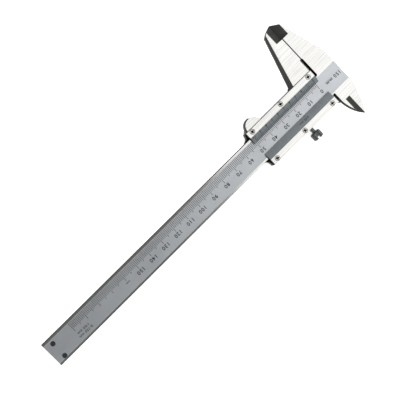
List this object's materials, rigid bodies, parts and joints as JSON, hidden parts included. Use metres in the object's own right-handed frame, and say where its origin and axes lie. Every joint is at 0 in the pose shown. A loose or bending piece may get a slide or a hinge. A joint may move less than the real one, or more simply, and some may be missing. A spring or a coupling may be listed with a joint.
{
  "type": "vernier caliper",
  "caption": "Slim steel vernier caliper with outside and inside jaws, a depth rod, a thumb rest and a knurled lock screw.",
  "frame": {"origin": "on the slider's flat back, at the closed measuring plane of the jaws and the middle of the beam's width", "axes": "+X along the beam from the jaws to its free end, +Y across the beam towards the inside jaws, +Z out of the scale side"},
  "size_m": [0.237, 0.0772, 0.0076],
  "materials": {
    "ground_steel": "satin",
    "jaw_steel": "satin",
    "scale_plate": "satin",
    "screw_steel": "satin",
    "dark_screw": "satin",
    "black_oxide": "satin",
    "gib_bronze": "satin"
  },
  "bodies": {
    "beam": {"main_beam": "ground_steel", "beam_end_plate": "ground_steel", "beam_end_screw_upper": "dark_screw", "beam_end_screw_lower": "dark_screw"},
    "slider": {"slider_body": "jaw_steel", "upper_cover_plate": "scale_plate", "vernier_plate": "scale_plate", "cover_screw_upper_1": "screw_steel", "cover_screw_upper_2": "screw_steel", "cover_screw_upper_3": "screw_steel", "cover_screw_lower_1": "screw_steel", "cover_screw_lower_2": "screw_steel", "cover_screw_lower_3": "screw_steel", "gib_strip": "gib_bronze", "gib_screw_left": "dark_screw", "gib_screw_right": "dark_screw", "depth_rod": "ground_steel", "depth_rod_rivet_left": "screw_steel", "depth_rod_rivet_right": "screw_steel"},
    "lock_screw": {"lock_screw": "black_oxide"}
  },
  "joints": [
    {"name": "slider_travel", "type": "slide", "parent": "beam", "child": "slider", "axis": [1, 0, 0], "range_m": [0, 0.15]},
    {"name": "lock_screw_turn", "type": "hinge", "parent": "slider", "child": "lock_screw", "pos_m": [0.0241, 0.018, 0.00365], "axis": [0, 1, 0], "range_deg": [-45, 315]}
  ]
}
